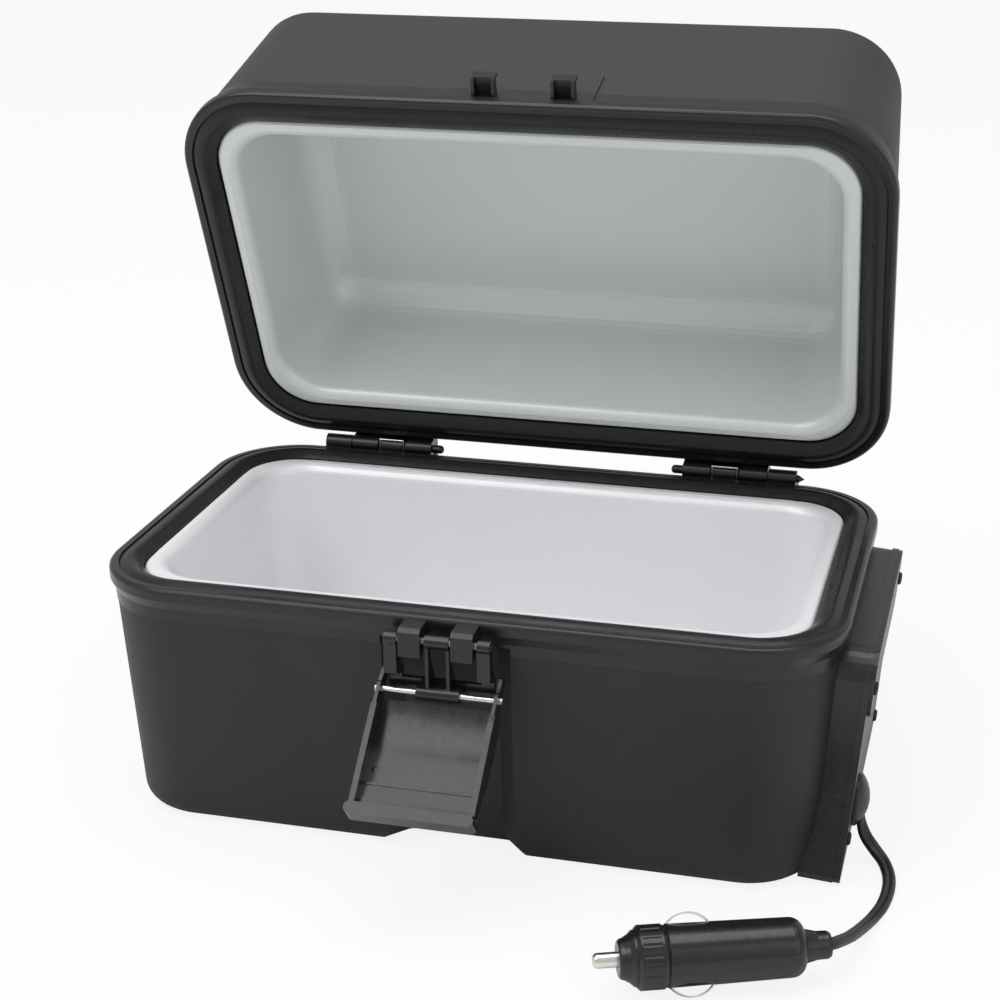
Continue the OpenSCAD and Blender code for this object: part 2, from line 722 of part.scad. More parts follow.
// Smooth value between the points i and i + 1 of a list, u from 0 to 1.
function smooth(list, i, u) =
  let (a = at(list, i - 1), b = at(list, i), c = at(list, i + 1), d = at(list, i + 2))
  0.5 * (2 * b + (c - a) * u + (2 * a - 5 * b + 4 * c - d) * u * u + (3 * b - a - 3 * c + d) * u * u * u);
function cord_ring(i, u) =
  let (
    p = smooth(cord_route, i, u),
    t = unit(smooth(cord_route, i, u + 0.02) - smooth(cord_route, i, u - 0.02)),
    w0 = smooth(cord_side, i, u),
    w = unit(w0 - (w0 * t) * t),
    v = cross(t, w)
  )
  [for (q = cord_section) p + q[0] * w + q[1] * v];

module power_cord() {
  last = len(cord_route) - 2;
  rings = concat(
    [for (i = [0:last], k = [0:cord_steps - 1]) cord_ring(i, k / cord_steps)], [cord_ring(last, 1)]
  );
  n = len(cord_section);
  m = len(rings);
  color("#1a1a1b") polyhedron(
    points = [for (ring = rings, q = ring) q],
    faces = concat(
      [[for (j = [0:n - 1]) j]],
      [for (i = [0:m - 2], j = [0:n - 1])
        [i * n + j, (i + 1) * n + j, (i + 1) * n + (j + 1) % n, i * n + (j + 1) % n]],
      [[for (j = [n - 1:-1:0]) (m - 1) * n + j]]
    )
  );
}

// ---- Latch ----

bar_back = 3.7;
bar_t = 2;
pin_half = lever_w / 2 + 0.7;
cheek_t = 2;
boss_w = 15;

module latch_hinge_pin() {
  color("#b8babd") translate([-link_w / 2 + 0.3, link_y, link_z]) rotate([0, 90, 0])
    cylinder(r = latch_pin_r, h = link_w - 0.6);
}

// One upright of the link: its front edge is drawn in Y and Z from the upper axis.
module link_upright(x0, w, front) {
  translate([x0, link_y, link_z]) rotate([0, 90, 0]) cylinder(r = barrel_r, h = w);
  translate([x0, link_y, link_z]) rotate([90, 0, 90]) linear_extrude(w) polygon(concat(front, [
    [bar_back + bar_t, -link_l - 1], [bar_back + bar_t, -link_l + 5], [1.9, -link_l + 12], [1.9, 0]
  ]));
}

module latch_link() {
  rib = 1.1;
  arm_front = [[-1.9, 0], [-1.9, -link_l + 7], [bar_back, -link_l + 4.9], [bar_back, -link_l - 1]];
  rib_front = [[-1.2, 0], [-1.2, -link_l], [bar_back, -link_l - 1]];
  color("#1c1c1d") difference() {
    union() {
      for (s = [0, 1]) mirror([s, 0, 0]) {
        link_upright(link_w / 2 - arm_w, arm_w, arm_front);
        link_upright(barrel_w / 2 - rib, rib, rib_front);
      }
      translate([-barrel_w / 2, link_y, link_z]) rotate([0, 90, 0]) cylinder(r = barrel_r, h = barrel_w);
      translate([-link_w / 2, link_y + bar_back, grip_z - 1]) cube([link_w, bar_t, 4.4]);
      translate([-boss_w / 2, link_y, grip_z]) rotate([0, 90, 0]) cylinder(r = latch_pin_r + 1.4, h = boss_w);
      translate([-boss_w / 2, link_y, grip_z - 1]) cube([boss_w, bar_back + eps, 3.6]);
    }
    translate([-link_w / 2 - 1, link_y, link_z]) rotate([0, 90, 0])
      cylinder(r = latch_pin_r + pin_gap, h = link_w + 2);
    translate([-boss_w / 2 - 1, link_y, grip_z]) rotate([0, 90, 0]) cylinder(r = latch_pin_r, h = boss_w + 2);
  }
}

module latch_pin() {
  color("#c4c6c9") translate([-pin_half, link_y, grip_z]) rotate([0, 90, 0])
    cylinder(r = latch_pin_r, h = 2 * pin_half);
}

// The lever's section in its own frame: pin at the origin, grip towards -Z, hollow side towards -Y.
plate_t = 1.7;
lip_reach = 7.2;
lip_h = 4.1;
crease = lever_l - 9;
lever_top = 2.6;
ear_up = 6.8;
ear_tip_r = 1.8;
ear_t = 1.2;

// The plate's back is bowed on a radius from its top to the crease, and flat from there to the grip.
bow_r = 48;
bow_top = [4.6, -lever_top];
bow_end = [3.6, -crease];
bow_along = (bow_end - bow_top) / norm(bow_end - bow_top);
bow_c = (bow_top + bow_end) / 2
  - sqrt(pow(bow_r, 2) - pow(norm(bow_end - bow_top) / 2, 2)) * [-bow_along[1], bow_along[0]];

// How far the cheeks' backs lie inside the plate's.
back_in = 0.2;

// Back of the plate at a height in the bow.
function bow_y(z) = bow_c[0] + sqrt(pow(bow_r, 2) - pow(z - bow_c[1], 2));

module lever_plate() {
  w = lever_w - 1;
  intersection() {
    translate([-w / 2, bow_c[0], bow_c[1]]) rotate([0, 90, 0]) difference() {
      cylinder(r = bow_r, h = w, $fn = 180);
      translate([0, 0, -1]) cylinder(r = bow_r - plate_t, h = w + 2, $fn = 180);
    }
    translate([-lever_w, 0, -crease]) cube([2 * lever_w, 12, crease - lever_top]);
  }
  translate([-w / 2, 0, 0]) rotate([90, 0, 90]) linear_extrude(w) polygon([
    [bow_y(1 - crease) - back_in, 1 - crease], bow_end + [0.05, 0], [2.6, 3.4 - lever_l], [2.4, 0.4 - lever_l],
    [2.4 - plate_t, 0.4 - lever_l], [2.6 - plate_t, 3.4 - lever_l], bow_end - [plate_t, 0], bow_end - [plate_t, -1]
  ]);
}

// One cheek, with a thinner part about the pin that ends in an ear.
module lever_cheek() {
  step_z = 6.5;
  rotate([90, 0, 90]) linear_extrude(cheek_t) polygon(concat(
    [[-3.2, -step_z], [-3.3, -9], [-2.9, -lever_l * 0.6], [-2.4, -lever_l + 1], [2.4 - back_in, -lever_l + 1]],
    [for (i = [10:-1:0]) let (z = -step_z - (crease - step_z) * i / 10) [bow_y(z) - back_in, z]]
  ));
  translate([(cheek_t - ear_t) / 2, 0, 0]) {
    rotate([90, 0, 90]) linear_extrude(ear_t) polygon([
      [-ear_tip_r, ear_up], [-3.2, 0], [-3.2, -step_z - 1], [bow_y(-step_z) - back_in, -step_z - 1],
      [bow_y(-step_z) - back_in, -step_z], bow_top - [back_in, 0], [3.2, 0], [ear_tip_r, ear_up]
    ]);
    rotate([0, 90, 0]) cylinder(r = 3.3, h = ear_t);
    translate([0, 0, ear_up]) rotate([0, 90, 0]) cylinder(r = ear_tip_r, h = ear_t);
  }
}

module latch_lever() {
  color("#1f1f20") translate([0, link_y, grip_z]) rotate([-lever_out, 0, 0]) difference() {
    union() {
      for (s = [-1, 1]) translate([s * (lever_w - cheek_t) / 2 - cheek_t / 2, 0, 0]) lever_cheek();
      lever_plate();
      // the grip: a lip turned towards the hollow side, with round ends
      translate([0, 2.6, -lever_l + 0.5 - lip_h / 2]) rotate([90, 0, 0]) linear_extrude(lip_reach)
        rounded(lever_w + 1, lip_h, 1.9);
    }
    translate([-lever_w, 0, 0]) rotate([0, 90, 0]) cylinder(r = latch_pin_r + pin_gap, h = 2 * lever_w);
    // mark of an ejector pin in the plate
    translate([-17, bow_y(-lever_l * 0.65) - plate_t - 3, -lever_l * 0.65]) rotate([-90, 0, 0])
      cylinder(r = 1.3, h = 3.6);
  }
}

// ---- Lid, drawn shut and then turned to the angle at which it stands ----

module lid_place() {
  translate([0, hinge_y, hinge_z]) rotate([-lid_open, 0, 0]) translate([0, -hinge_y, -hinge_z]) children();
}

// A half case turned upside down on the lid's lip.
module lid_half() {
  translate([0, 0, lid_lip_z + lid_h]) mirror([0, 0, 1]) children();
}

// Where the latch's pin lies when the latch is shut: behind the hooks on the lid.
shut_lean = 10;
shut_pin = [link_y + link_l * sin(shut_lean), link_z + link_l * cos(shut_lean)];
hook_x = 14.5;
hook_w = 8.6;
hook_t = 1.2;
hook_gap = latch_pin_r + 0.35;
lid_wall_y = -(cy + wall_top_d);

module keeper_hook() {
  y = shut_pin[0];
  z = shut_pin[1];
  root = lid_wall_y + 1.6;
  translate([-hook_w / 2, 0, 0]) rotate([90, 0, 90]) linear_extrude(hook_w) polygon([
    [root, z - hook_gap - hook_t], [y - hook_gap - hook_t, z - hook_gap - hook_t],
    [y - hook_gap - hook_t, z + 1.2], [y - hook_gap, z + 1.2], [y - hook_gap, z - hook_gap], [root, z - hook_gap]
  ]);
  for (s = [-1, 1]) translate([s * (hook_w - hook_t) / 2 - hook_t / 2, 0, 0]) rotate([90, 0, 90]) linear_extrude(hook_t)
    polygon([
      [root, z - hook_gap - 0.5], [y - hook_gap - hook_t, z - hook_gap - 0.5],
      [y - hook_gap - hook_t, z - hook_gap - 2.2], [root, lid_lip_z + flange_side - 1]
    ]);
}

// Smooth raised pad on the lid's front wall that carries the two hooks.
pad_w = 50;
pad_h = 24;
pad_up = 0.7;
module keeper_pad() {
  z0 = lid_lip_z + flange_root;
  slope = wall_draft / (lid_h - flange_root);
  y0 = lid_wall_y - pad_up;
  rise = pad_h - flange_root;
  translate([-pad_w / 2, 0, 0]) rotate([90, 0, 90]) linear_extrude(pad_w) polygon([
    [y0, z0 - 1], [y0 + slope * rise, z0 + rise], [y0 + slope * rise + 1.5, z0 + rise], [y0 + 1.5, z0 - 1]
  ]);
}

// Lid knuckle: barrel, and the block that joins it to the web above.
module lid_knuckle(k) {
  translate([knuckle_x(k), hinge_y, hinge_z]) rotate([0, 90, 0]) cylinder(r = knuckle_r, h = knuckle_len(k));
  translate([knuckle_x(k), hinge_y, hinge_z]) rotate([90, 0, 90]) linear_extrude(knuckle_len(k))
    polygon([[-knuckle_r * 0.85, 0.6], [knuckle_r * 0.95, 0.6], [knuckle_r * 0.95, web_up + 1], [-knuckle_r * 0.85, web_up + 1]]);
}

module lid_web() {
  translate([hinge_in + turn_gap / 2, hinge_y, hinge_z]) rotate([90, 0, 90])
    linear_extrude(3 * knuckle_w - turn_gap) polygon([
      [-hinge_back - 1.2, web_up - 0.3], [web_back, web_up - 0.3], [web_back, web_up + 1.2],
      [-hinge_back + 1.4, web_up + 3.2], [-hinge_back - 1.2, web_up + 3.2]
    ]);
}

crown_z = lid_lip_z + lid_h;
ear_w = 8;
ear_r = 5;
pivot_z = crown_z + ear_r + 0.6;
handle_w = 11;
handle_pin_r = 2;

module handle_ear() {
  translate([handle_span / 2, 0, 0]) {
    translate([0, 0, pivot_z]) rotate([0, 90, 0]) cylinder(r = ear_r, h = ear_w);
    rotate([90, 0, 90]) linear_extrude(ear_w) polygon([
      [-ear_r - 4, crown_z - 0.8], [-ear_r, crown_z + 3.4], [-ear_r, pivot_z], [ear_r, pivot_z],
      [ear_r, crown_z + 3.4], [ear_r + 4, crown_z - 0.8]
    ]);
  }
}

module lid_shell() {
  color("#343536") lid_place() difference() {
    union() {
      lid_half() half_shell(lid_h, crown_edge_r);
      for (s = [-1, 1]) translate([s * hook_x, 0, 0]) keeper_hook();
      keeper_pad();
      on_both_sides() {
        for (k = [0, 2]) lid_knuckle(k);
        lid_web();
        handle_ear();
      }
    }
    on_both_sides() {
      hinge_bore(hinge_pin_r + pin_gap);
      translate([handle_span / 2 - 1, 0, pivot_z]) rotate([0, 90, 0]) cylinder(r = handle_pin_r, h = ear_w + 2);
    }
  }
}

module lid_liner() { color("#b9bdc3") lid_place() lid_half() liner(lid_h, lid_tub_depth); }

module lid_gasket() { color("#1d1e1f") lid_place() lid_half() gasket(lid_h); }

module lid_insulation() { color("#e6dfc8") lid_place() lid_half() insulation(lid_h, lid_tub_depth, crown_edge_r); }

// Hinge pin: a round head at the inner end; the outer end, past the barrel by out, is pointed by tip.
module hinge_pin(out, tip) {
  head = 4.4;
  translate([hinge_in - head - 0.2, hinge_y, hinge_z]) rotate([0, 90, 0]) rotate_extrude() polygon(concat(
    [[0, 0]], arc([0.2, 1.5], 1.5, -90, 0, 5), [[1.7, head], [hinge_pin_r, head]],
    [[hinge_pin_r, head + hinge_w + out], [0, head + hinge_w + out + tip]]
  ));
}

module hinge_pin_left() { color("#4a4b4d") mirror([1, 0, 0]) hinge_pin(-0.6, 0.2); }

module hinge_pin_right() { color("#4a4b4d") hinge_pin(0.8, 2.4); }

// Wire clip: a bar over the middle knuckle and two legs that stand on the shelf.
module hinge_clip() {
  y = hinge_y - 2.2;
  top = hinge_z + 3.2;
  foot = hinge_z - shelf_down;
  x0 = hinge_in + knuckle_w + turn_gap / 2 + 0.1 + wire_r;
  x1 = hinge_in + 2 * knuckle_w - turn_gap / 2 - 0.1 - wire_r;
  for (x = [x0, x1]) {
    translate([x, y, foot]) cylinder(r = wire_r, h = top - foot);
    translate([x, y, top]) sphere(r = wire_r);
  }
  translate([x0, y, top]) rotate([0, 90, 0]) cylinder(r = wire_r, h = x1 - x0);
}

module hinge_clip_left() { color("#c9cbce") mirror([1, 0, 0]) hinge_clip(); }

module hinge_clip_right() { color("#c9cbce") hinge_clip(); }

// Folding handle: it lies on the crown towards the hinges and swings up on two pins.
handle_x = handle_span / 2 - turn_gap;
module carry_handle() {
  r = handle_t / 2;
  color("#222324") lid_place() difference() {
    union() {
      for (s = [-1, 1]) translate([s * (handle_x - handle_w / 2) - handle_w / 2, 0, pivot_z]) {
        rotate([0, 90, 0]) cylinder(r = r, h = handle_w);
        translate([0, 0, -r]) cube([handle_w, handle_reach, handle_t]);
      }
      translate([-handle_x, handle_reach - handle_w, pivot_z - r]) cube([2 * handle_x, handle_w, handle_t]);
      translate([-handle_x + 12, handle_reach, pivot_z]) rotate([0, 90, 0]) cylinder(r = r, h = 2 * handle_x - 24);
    }
    translate([-handle_x - 1, 0, pivot_z]) rotate([0, 90, 0]) cylinder(r = handle_pin_r + pin_gap, h = 2 * handle_x + 2);
  }
}

module handle_pins() {
  color("#a4a7ab") lid_place() on_both_sides()
    translate([handle_x - handle_w + 1, 0, pivot_z]) rotate([0, 90, 0])
      cylinder(r = handle_pin_r, h = handle_w + turn_gap + ear_w - 2);
}

body_shell();
body_liner();
body_gasket();
body_insulation();
heating_element();
thermal_fuse();
inner_wiring();
side_spacer();
side_cover();
side_cover_screws();
cord_boss();
power_cord();
plug_boot();
plug_body();
plug_ring();
plug_nose();
plug_tip();
plug_side_contacts();
plug_fuse();
hinge_pin_left();
hinge_pin_right();
hinge_clip_left();
hinge_clip_right();
latch_hinge_pin();
latch_link();
latch_pin();
latch_lever();
lid_shell();
lid_liner();
lid_gasket();
lid_insulation();
carry_handle();
handle_pins();
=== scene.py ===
# %% [markdown]
# # An electric lunch box, dressed for its photograph
# The solids of the box are already made and packed. This lesson gives them their
# finishes, adds the small things that a solid model leaves out, and lights the set.
# Everything is in metres, with the middle of the box's base at the origin.

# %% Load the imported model
import bpy
import math
import numpy as np
from mathutils import Matrix, Vector


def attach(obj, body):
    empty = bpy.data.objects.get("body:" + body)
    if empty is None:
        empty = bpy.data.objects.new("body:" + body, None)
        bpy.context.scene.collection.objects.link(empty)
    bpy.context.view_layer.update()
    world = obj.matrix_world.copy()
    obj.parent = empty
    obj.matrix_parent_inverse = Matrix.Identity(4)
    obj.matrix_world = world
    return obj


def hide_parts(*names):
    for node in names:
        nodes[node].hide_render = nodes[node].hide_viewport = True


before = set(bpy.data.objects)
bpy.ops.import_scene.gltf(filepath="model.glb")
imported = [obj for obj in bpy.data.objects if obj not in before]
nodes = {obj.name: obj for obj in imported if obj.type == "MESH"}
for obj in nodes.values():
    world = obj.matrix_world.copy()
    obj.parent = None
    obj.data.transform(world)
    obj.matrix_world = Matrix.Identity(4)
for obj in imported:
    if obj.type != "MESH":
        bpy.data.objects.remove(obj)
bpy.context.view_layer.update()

# %% [markdown]
# The camera comes first, because the picture's frame decides how large the set is.
# It could be aimed by eye, or turned towards an empty that it tracks. Here its place was
# found by fitting the straight edges of both rims, so it is kept as a place, a turn, a
# dip and a slight roll, which say the same thing each time the script runs.

# %% Place the camera
CAMERA_AT = (0.1786, -0.6543, 0.3646)
CAMERA_TURN = math.radians(-14.18)
CAMERA_DIP = math.radians(23.61)
CAMERA_ROLL = math.radians(-0.15)
FOCAL = 1.9825  # focal length in widths of the sensor
SENSOR = 36.0
CAMERA_SHIFT = (-0.0386, 0.0979)
NEAR, FAR = 0.01, 20

camera_data = bpy.data.cameras.new("camera")
camera_data.sensor_width = SENSOR
camera_data.lens = FOCAL * SENSOR
camera_data.shift_x, camera_data.shift_y = CAMERA_SHIFT
camera_data.clip_start, camera_data.clip_end = NEAR, FAR
camera = bpy.data.objects.new("camera", camera_data)
bpy.context.scene.collection.objects.link(camera)
gaze = Vector((
    math.sin(CAMERA_TURN) * math.cos(CAMERA_DIP),
    math.cos(CAMERA_TURN) * math.cos(CAMERA_DIP),
    -math.sin(CAMERA_DIP),
))
camera.location = CAMERA_AT
camera.rotation_mode = "QUATERNION"
level = gaze.to_track_quat("-Z", "Y")
camera.rotation_quaternion = level @ Matrix.Rotation(CAMERA_ROLL, 4, "Z").to_quaternion()
bpy.context.scene.camera = camera
print("camera looks along", [round(v, 3) for v in gaze])

# %% [markdown]
# The lead leaves the boss on the cover, drops to the floor and rises into the plug. Its
# route could be a Bezier curve with handles. A list of points that a smooth curve passes
# through is easier to read and to measure. Each point has a partner that says where the
# broad side of the flat lead faces.

# %% Route of the lead
LEAD_WIDE = 0.0046
LEAD_THICK = 0.0026
LEAD_STEPS = 5
PLUG_HIGH = 0.0117
LEAD_ROUTE = np.array([
    (0.1388, -0.0352, 0.019), (0.139, -0.0356, 0.0156), (0.1397, -0.0363, 0.0116),
    (0.1416, -0.0383, 0.0078), (0.1451, -0.0411, 0.0046), (0.149, -0.0458, 0.0024),
    (0.1514, -0.0534, 0.00145), (0.1519, -0.0628, 0.0014), (0.1508, -0.0728, 0.0015),
    (0.1485, -0.0811, 0.0017), (0.1471, -0.0861, 0.0025), (0.1457, -0.0915, 0.0038),
    (0.144, -0.0983, 0.0058), (0.142, -0.1051, 0.008), (0.1375, -0.1157, PLUG_HIGH),
    (0.1332, -0.1174, PLUG_HIGH),
])
LEAD_BROAD = np.array([
    (0, 1, 0), (0, 1, 0), (0.3, 1, 0), (0.8, 0.8, 0.2), (1, 0.5, 0.2), (1, 0.3, 0), (1, 0, 0),
    (1, 0, 0), (1, 0, 0), (1, -0.1, 0), (1, -0.2, 0), (1, -0.3, 0), (0.9, -0.45, 0), (0.8, -0.6, 0),
    (0.4, -0.9, 0), (0.36, -0.93, 0),
])


def smooth(points, i, u):
    """The value a share u of the way from point i to the next, on a smooth curve."""
    a, b, c, d = (points[min(max(i + k, 0), len(points) - 1)] for k in (-1, 0, 1, 2))
    return 0.5 * (2 * b + (c - a) * u + (2 * a - 5 * b + 4 * c - d) * u**2 + (3 * b - a - 3 * c + d) * u**3)


def unit(v):
    return v / np.linalg.norm(v)


def along(points, steps):
    stops = [(i, k / steps) for i in range(len(points) - 1) for k in range(steps)]
    return np.array([smooth(points, i, u) for i, u in stops] + [points[-1]])


lead_path = along(LEAD_ROUTE, LEAD_STEPS)
lead_broad = along(LEAD_BROAD, LEAD_STEPS)

# %% [markdown]
# The lead is a flat pair: two round cores side by side with a groove between them. A
# curve with a bevel would be the quick way, but it turns a flat section as it likes. So
# the section is swept by hand, with its broad side held the way its partner point says.

# %% Sweep of the flat section
GROOVE_EDGE = (0.35, 0.40)  # shares of the core's distance and of the thickness
GROOVE_FLOOR = 0.34


def twin_section(wide, thick, n=12):
    """Two round cores joined in the middle, as a closed line."""
    core = (wide - thick) / 2
    turn = np.linspace(-math.pi / 2, math.pi / 2, n)
    right = [(core + thick / 2 * math.cos(a), thick / 2 * math.sin(a)) for a in turn]
    x, y = core * GROOVE_EDGE[0], thick * GROOVE_EDGE[1]
    groove = [(x, y), (0.0, thick * GROOVE_FLOOR), (-x, y)]
    left = [(-x, -y) for x, y in right]
    return right + groove + left + [(-x, -y) for x, y in groove]


section = twin_section(LEAD_WIDE, LEAD_THICK)
rings = []
for k, p in enumerate(lead_path):
    ahead = unit(lead_path[min(k + 1, len(lead_path) - 1)] - lead_path[max(k - 1, 0)])
    side = unit(lead_broad[k] - (lead_broad[k] @ ahead) * ahead)
    over = np.cross(ahead, side)
    rings += [p + x * side + y * over for x, y in section]
n = len(section)
m = len(lead_path)
faces = [
    (i * n + j, i * n + (j + 1) % n, (i + 1) * n + (j + 1) % n, (i + 1) * n + j)
    for i in range(m - 1) for j in range(n)
]
faces += [tuple(range(n - 1, -1, -1)), tuple(range((m - 1) * n, m * n))]
lead_mesh = bpy.data.meshes.new("lead")
lead_mesh.from_pydata([tuple(v) for v in rings], [], faces)
lead_mesh.shade_smooth()
lead = bpy.data.objects.new("lead", lead_mesh)
bpy.context.scene.collection.objects.link(lead)
print("lead mesh:", len(rings), "points")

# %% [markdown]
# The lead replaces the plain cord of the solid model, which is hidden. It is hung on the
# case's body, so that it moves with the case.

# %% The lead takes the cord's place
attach(lead, "case")
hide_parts("power_cord")

# %% [markdown]
# A finish is a node tree. Each could be built by hand in the shader editor, or from one
# large group. Here small helpers each add one step, such as noise, a spread of values or
# a bump, because every finish starts alike: a colour with slow unevenness in it, a
# roughness, and grain that tilts the surface a little.

# %% Helpers for finishes
def finish_base(name, colour, rough, metal=0.0):
    """A new material and its tree, with plain values set on the shader itself."""
    m = bpy.data.materials.new(name)
    m.use_nodes = True
    shader = m.node_tree.nodes["Principled BSDF"]
    shader.inputs["Base Color"].default_value = (*colour, 1)
    shader.inputs["Roughness"].default_value = rough
    shader.inputs["Metallic"].default_value = metal
    return m, m.node_tree, shader


def add(tree, kind, **values):
    """A node of a kind, with some of its sockets or settings set by name."""
    n = tree.nodes.new("ShaderNode" + kind)
    for key, value in values.items():
        name = key.replace("_", " ")
        if name in n.inputs:
            n.inputs[name].default_value = value
        else:
            setattr(n, key, value)
    return n


def link(tree, a, b):
    tree.links.new(a, b)


def noise(tree, coords, size, detail=3.0, rough=0.55):
    """Noise whose lumps are about size metres across."""
    n = add(tree, "TexNoise", Scale=1.0 / size, Detail=detail, Roughness=rough)
    link(tree, coords, n.inputs["Vector"])
    return n.outputs["Fac"]


def spread(tree, fac, low, high, to_low, to_high):
    """Stretches one range of a value over another."""
    n = add(tree, "MapRange", From_Min=low, From_Max=high, To_Min=to_low, To_Max=to_high)
    link(tree, fac, n.inputs["Value"])
    return n.outputs["Result"]


def bump(tree, shader, height, distance, strength=1.0, under=None):
    n = add(tree, "Bump", Strength=strength, Distance=distance)
    link(tree, height, n.inputs["Height"])
    if under is not None:
        link(tree, under, n.inputs["Normal"])
    link(tree, n.outputs["Normal"], shader.inputs["Normal"])
    return n.outputs["Normal"]


def tint(tree, fac, low, high):
    """Mixes two colours by a value."""
    n = add(tree, "Mix", data_type="RGBA")
    n.inputs[6].default_value = (*low, 1)
    n.inputs[7].default_value = (*high, 1)
    link(tree, fac, n.inputs[0])
    return n.outputs[2]


def coords_of(tree):
    return tree.nodes.new("ShaderNodeTexCoord").outputs["Object"]


def dress(names, material):
    """Gives CAD nodes a finish; their meshes stay as they are."""
    for n in names:
        slots = nodes[n].data.materials
        slots.clear()
        slots.append(material)
    print(material.name, "on", ", ".join(names))

# %% [markdown]
# The case is a black plastic with a fine spark-eroded grain. The grain stops about
# ten millimetres from the lip, where the rim's smooth, darker band starts. Two materials
# with a seam between them would need the mesh cut. One material that looks at its own
# height needs nothing. On the lid the same band is measured from the lid's own lip, so
# its coordinates are first turned back to the shut position about the hinge.

# %% Grained case plastic
HINGE = (0.0, 0.0823, 0.0946)
LID_OPEN = math.radians(69)
LIP_Z = 0.092
LID_LIP_Z = 0.0977
BAND = 0.0105
BAND_FADE = 0.0006
BAND_COLOUR = (0.008, 0.008, 0.0085)
CASE_COLOUR = (0.016, 0.017, 0.0175)  # the plain colour, which the drawn ones cover
WALL_COLOUR = (0.0105, 0.0112, 0.0115)
# The lid's wall is painted lighter than the body's, though it is the same plastic: painted light, from the
# lamp above that its upper wall faces.
LID_WALL_PAINTED_LIGHT = (0.023, 0.0265, 0.0262)


def shut_coords(tree):
    """Object coordinates of a lid piece, turned back to where it is with the lid shut."""
    move = add(tree, "VectorMath", operation="SUBTRACT")
    move.inputs[1].default_value = HINGE
    link(tree, coords_of(tree), move.inputs[0])
    turn = add(tree, "VectorRotate", rotation_type="X_AXIS", Angle=LID_OPEN)
    link(tree, move.outputs[0], turn.inputs["Vector"])
    back = add(tree, "VectorMath", operation="ADD")
    back.inputs[1].default_value = HINGE
    link(tree, turn.outputs[0], back.inputs[0])
    return back.outputs[0]


def case_plastic(name, lid):
    wall = LID_WALL_PAINTED_LIGHT if lid else WALL_COLOUR
    m, tree, shader = finish_base(name, CASE_COLOUR, 0.5)
    at = shut_coords(tree) if lid else coords_of(tree)
    split = add(tree, "SeparateXYZ")
    link(tree, at, split.inputs[0])
    start, fade = (LID_LIP_Z + BAND, BAND_FADE) if lid else (LIP_Z - BAND, -BAND_FADE)
    grained = spread(tree, split.outputs["Z"], start, start + fade, 0.0, 1.0)
    fine = noise(tree, at, 0.0009, detail=4.0, rough=0.7)
    slow = noise(tree, at, 0.05, detail=2.0)
    height = add(tree, "Math", operation="MULTIPLY")
    link(tree, fine, height.inputs[0])
    link(tree, grained, height.inputs[1])
    bump(tree, shader, height.outputs[0], 0.00022, 0.55)
    rough = add(tree, "Mix", data_type="FLOAT")
    link(tree, grained, rough.inputs[0])
    link(tree, spread(tree, slow, 0.3, 0.7, 0.26, 0.34), rough.inputs[2])
    link(tree, spread(tree, slow, 0.3, 0.7, 0.50, 0.60), rough.inputs[3])
    link(tree, rough.outputs[0], shader.inputs["Roughness"])
    cloudy = tint(tree, slow, tuple(0.85 * c for c in wall), tuple(1.15 * c for c in wall))
    paint = add(tree, "Mix", data_type="RGBA")
    paint.inputs[6].default_value = (*BAND_COLOUR, 1)
    link(tree, grained, paint.inputs[0])
    link(tree, cloudy, paint.inputs[7])
    link(tree, paint.outputs[2], shader.inputs["Base Color"])
    return m


dress(["body_shell"], case_plastic("case_grain", False))
dress(["lid_shell"], case_plastic("lid_grain_painted_light", True))

# %% [markdown]
# The tubs are pressed aluminium with a matt, slightly frosted coat, so they show soft
# light rather than reflections. Bare metal with a brushed grain was the other way, but it
# mirrors the dark rim. A pale coat with a little metal in it gives the even, bright look.
# The lid's sheet is a little greener, and is painted darker too: painted shade, since the
# lid's tub faces down and forward, away from the light above. The lip is the same sheet.

# %% Frosted tubs
TUB_COLOUR = (0.87, 0.875, 0.895)
# painted shade: the lid's sheet is drawn darker than the body's, as it faces away from the light above; its
# greener tint is the sheet's own
LID_TUB_TINT_AND_PAINTED_SHADE = (0.69, 0.715, 0.715)


def tub_coat(name, lid):
    sheet = LID_TUB_TINT_AND_PAINTED_SHADE if lid else TUB_COLOUR
    m, tree, shader = finish_base(name, sheet, 0.42, 0.3)
    at = shut_coords(tree) if lid else coords_of(tree)
    fine = noise(tree, at, 0.0006, detail=3.0, rough=0.7)
    slow = noise(tree, at, 0.06)
    bump(tree, shader, fine, 0.00006, 0.35)
    link(tree, spread(tree, slow, 0.3, 0.7, 0.40, 0.48), shader.inputs["Roughness"])
    cloudy = tint(tree, slow, tuple(0.975 * c for c in sheet), tuple(1.02 * c for c in sheet))
    link(tree, cloudy, shader.inputs["Base Color"])
    return m


dress(["body_liner"], tub_coat("tub_coat", False))
dress(["lid_liner"], tub_coat("lid_tub_coat_painted_shade", True))

# %% [markdown]
# The rubber bands are smooth and black, with a broad soft gloss. A plain black would look
# like a hole round the bright tubs, so slow noise moves the gloss and tilts the surface.

# %% Rubber bands
def rubber(name, lid):
    m, tree, shader = finish_base(name, (0.008, 0.008, 0.0085), 0.3)
    shader.inputs["Specular IOR Level"].default_value = 0.35
    at = shut_coords(tree) if lid else coords_of(tree)
    slow = noise(tree, at, 0.02, detail=4.0)
    link(tree, spread(tree, slow, 0.3, 0.75, 0.24, 0.42), shader.inputs["Roughness"])
    bump(tree, shader, slow, 0.0003, 0.2)
    return m


dress(["body_gasket"], rubber("band_rubber", False))
dress(["lid_gasket"], rubber("lid_band_rubber", True))

# %% [markdown]
# The latch, the cover and the plug are a harder, glossier plastic. Its faces aren't
# quite flat, and show the slight waves and the fine scuffs of a moulding. Waves in the
# mesh would need many faces, so two bumps of different size do it, one under the other.

